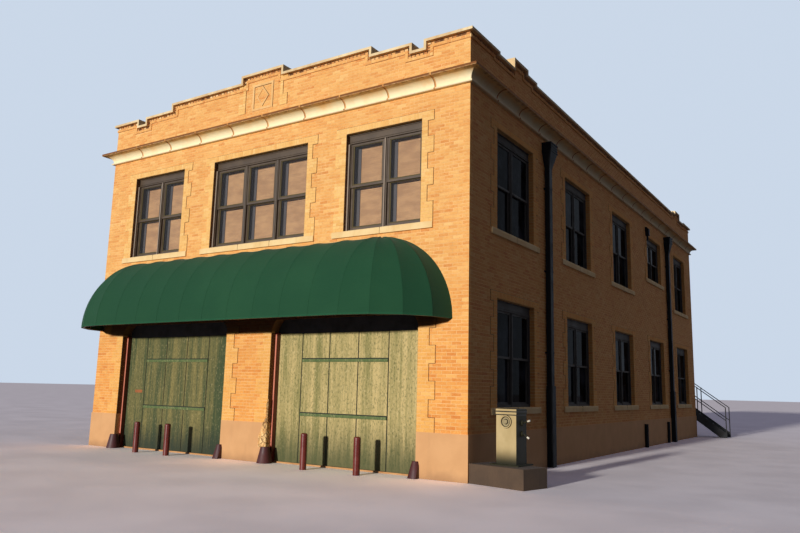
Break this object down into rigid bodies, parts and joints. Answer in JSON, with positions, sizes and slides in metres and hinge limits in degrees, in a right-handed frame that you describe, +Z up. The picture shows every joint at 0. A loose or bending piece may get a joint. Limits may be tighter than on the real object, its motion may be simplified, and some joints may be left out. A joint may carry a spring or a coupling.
{
  "type": "fire station building",
  "caption": "Two-storey brick fire station with boarded engine bays under a domed fabric awning, stepped parapet, moulded cornice, side downspouts and a rear steel stair.",
  "frame": {"origin": "on the ground under the centre of the brick walls' footprint, on the ground floor slab's underside", "axes": "+X to the right along the front, +Y to the rear, +Z up"},
  "size_m": [13.1762, 23.464, 9.44],
  "materials": {
    "concrete": "weathered",
    "roofing": "gravelled felt",
    "plinth_concrete": "weathered smooth concrete",
    "brick": "blond face brick",
    "trim_brick": "yellower face brick",
    "cast_stone": "smooth cast stone",
    "coping_stone": "weathered stone",
    "dark_joinery": "dark bronze",
    "grey_joinery": "weathered grey",
    "glass": "clear",
    "blind": "tan cloth",
    "green_boards": "faded green paint",
    "red_metal": "dull red paint",
    "red_iron": "dark red paint",
    "green_fabric": "dark green cloth",
    "frame_steel": "galvanised",
    "dark_iron": "blue-black paint",
    "green_metal": "pale olive green paint",
    "door_metal": "grey paint",
    "stair_steel": "weathered grey paint"
  },
  "bodies": {
    "root": {"ground_floor": "concrete", "upper_floor": "concrete", "roof_deck": "roofing", "front_plinth": "plinth_concrete", "side_plinths": "plinth_concrete", "rear_plinth": "plinth_concrete", "front_piers": "brick", "front_wall": "brick", "right_wall": "brick", "left_wall": "brick", "rear_wall": "brick", "front_parapet": "brick", "side_parapets": "brick", "rear_parapet": "brick", "front_cornice": "cast_stone", "side_cornices": "cast_stone", "rear_cornice": "cast_stone", "front_coping": "coping_stone", "side_copings": "coping_stone", "rear_coping": "coping_stone", "parapet_band": "brick", "window_sills": "cast_stone", "window_surrounds": "trim_brick", "bay_quoins": "trim_brick", "parapet_panel": "trim_brick", "front_window_frames": "dark_joinery", "other_window_frames": "grey_joinery", "front_glass": "glass", "other_glass": "glass", "front_blinds": "blind", "bay_boards": "green_boards", "bay_jambs": "red_metal", "wheel_guards": "red_iron", "bollards": "red_iron", "awning_cover": "green_fabric", "awning_frame": "frame_steel", "downspouts": "dark_iron", "wall_fittings": "dark_iron", "cabinet_block": "concrete", "cabinet": "green_metal", "rear_door": "door_metal", "stair_sides": "stair_steel", "stair_treads": "stair_steel", "stair_landing": "stair_steel"}
  },
  "joints": []
}
